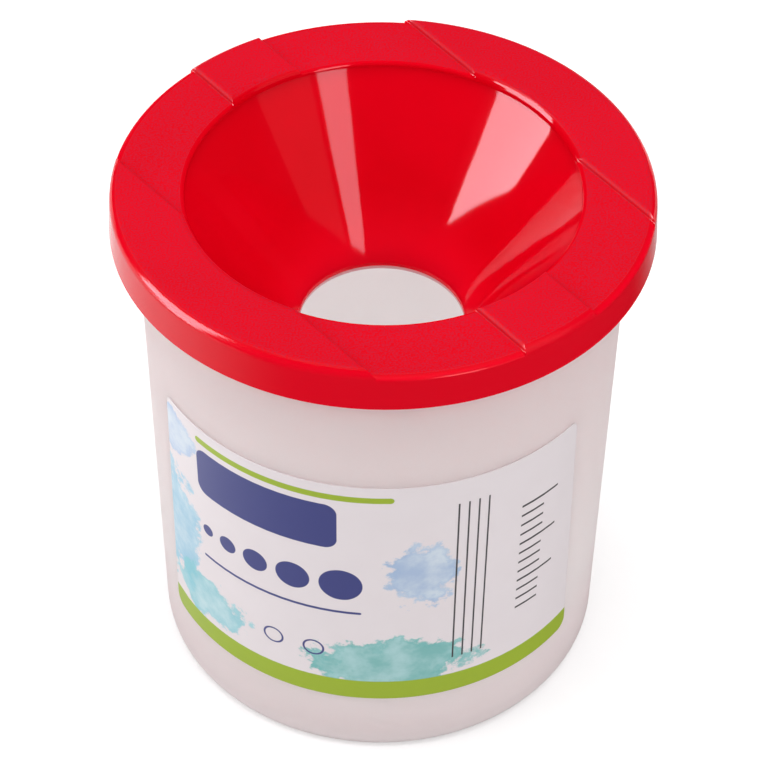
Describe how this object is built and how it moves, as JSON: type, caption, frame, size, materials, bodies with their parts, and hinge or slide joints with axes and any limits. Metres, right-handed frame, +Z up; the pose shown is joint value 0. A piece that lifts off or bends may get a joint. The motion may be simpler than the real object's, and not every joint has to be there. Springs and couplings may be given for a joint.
{
  "type": "paint water cup with lid",
  "caption": "Tapered frosted cup for paint water, with a push-on lid that has an open funnel and low brush rests between raised lands, and a wrap label.",
  "frame": {"origin": "centre of the foot ring, on the plane the cup stands on", "axes": "+Z up along the cup's axis, -Y towards the middle of the label (the front), +X to the front's right"},
  "size_m": [0.096, 0.096, 0.105],
  "materials": {
    "cup_frosted": "moulded translucent polypropylene with a fine frosted surface",
    "lid_red": "moulded red polypropylene, glossy in the funnel and satin on the flat top",
    "label_print": "satin film label with a printed green, navy and pale blue design"
  },
  "bodies": {
    "cup": {"cup": "cup_frosted", "label": "label_print"},
    "lid": {"lid": "lid_red"}
  },
  "joints": [
    {"name": "lid_lift", "type": "slide", "parent": "cup", "child": "lid", "axis": [0, 0, 1], "range_m": [0, 0.06]}
  ]
}
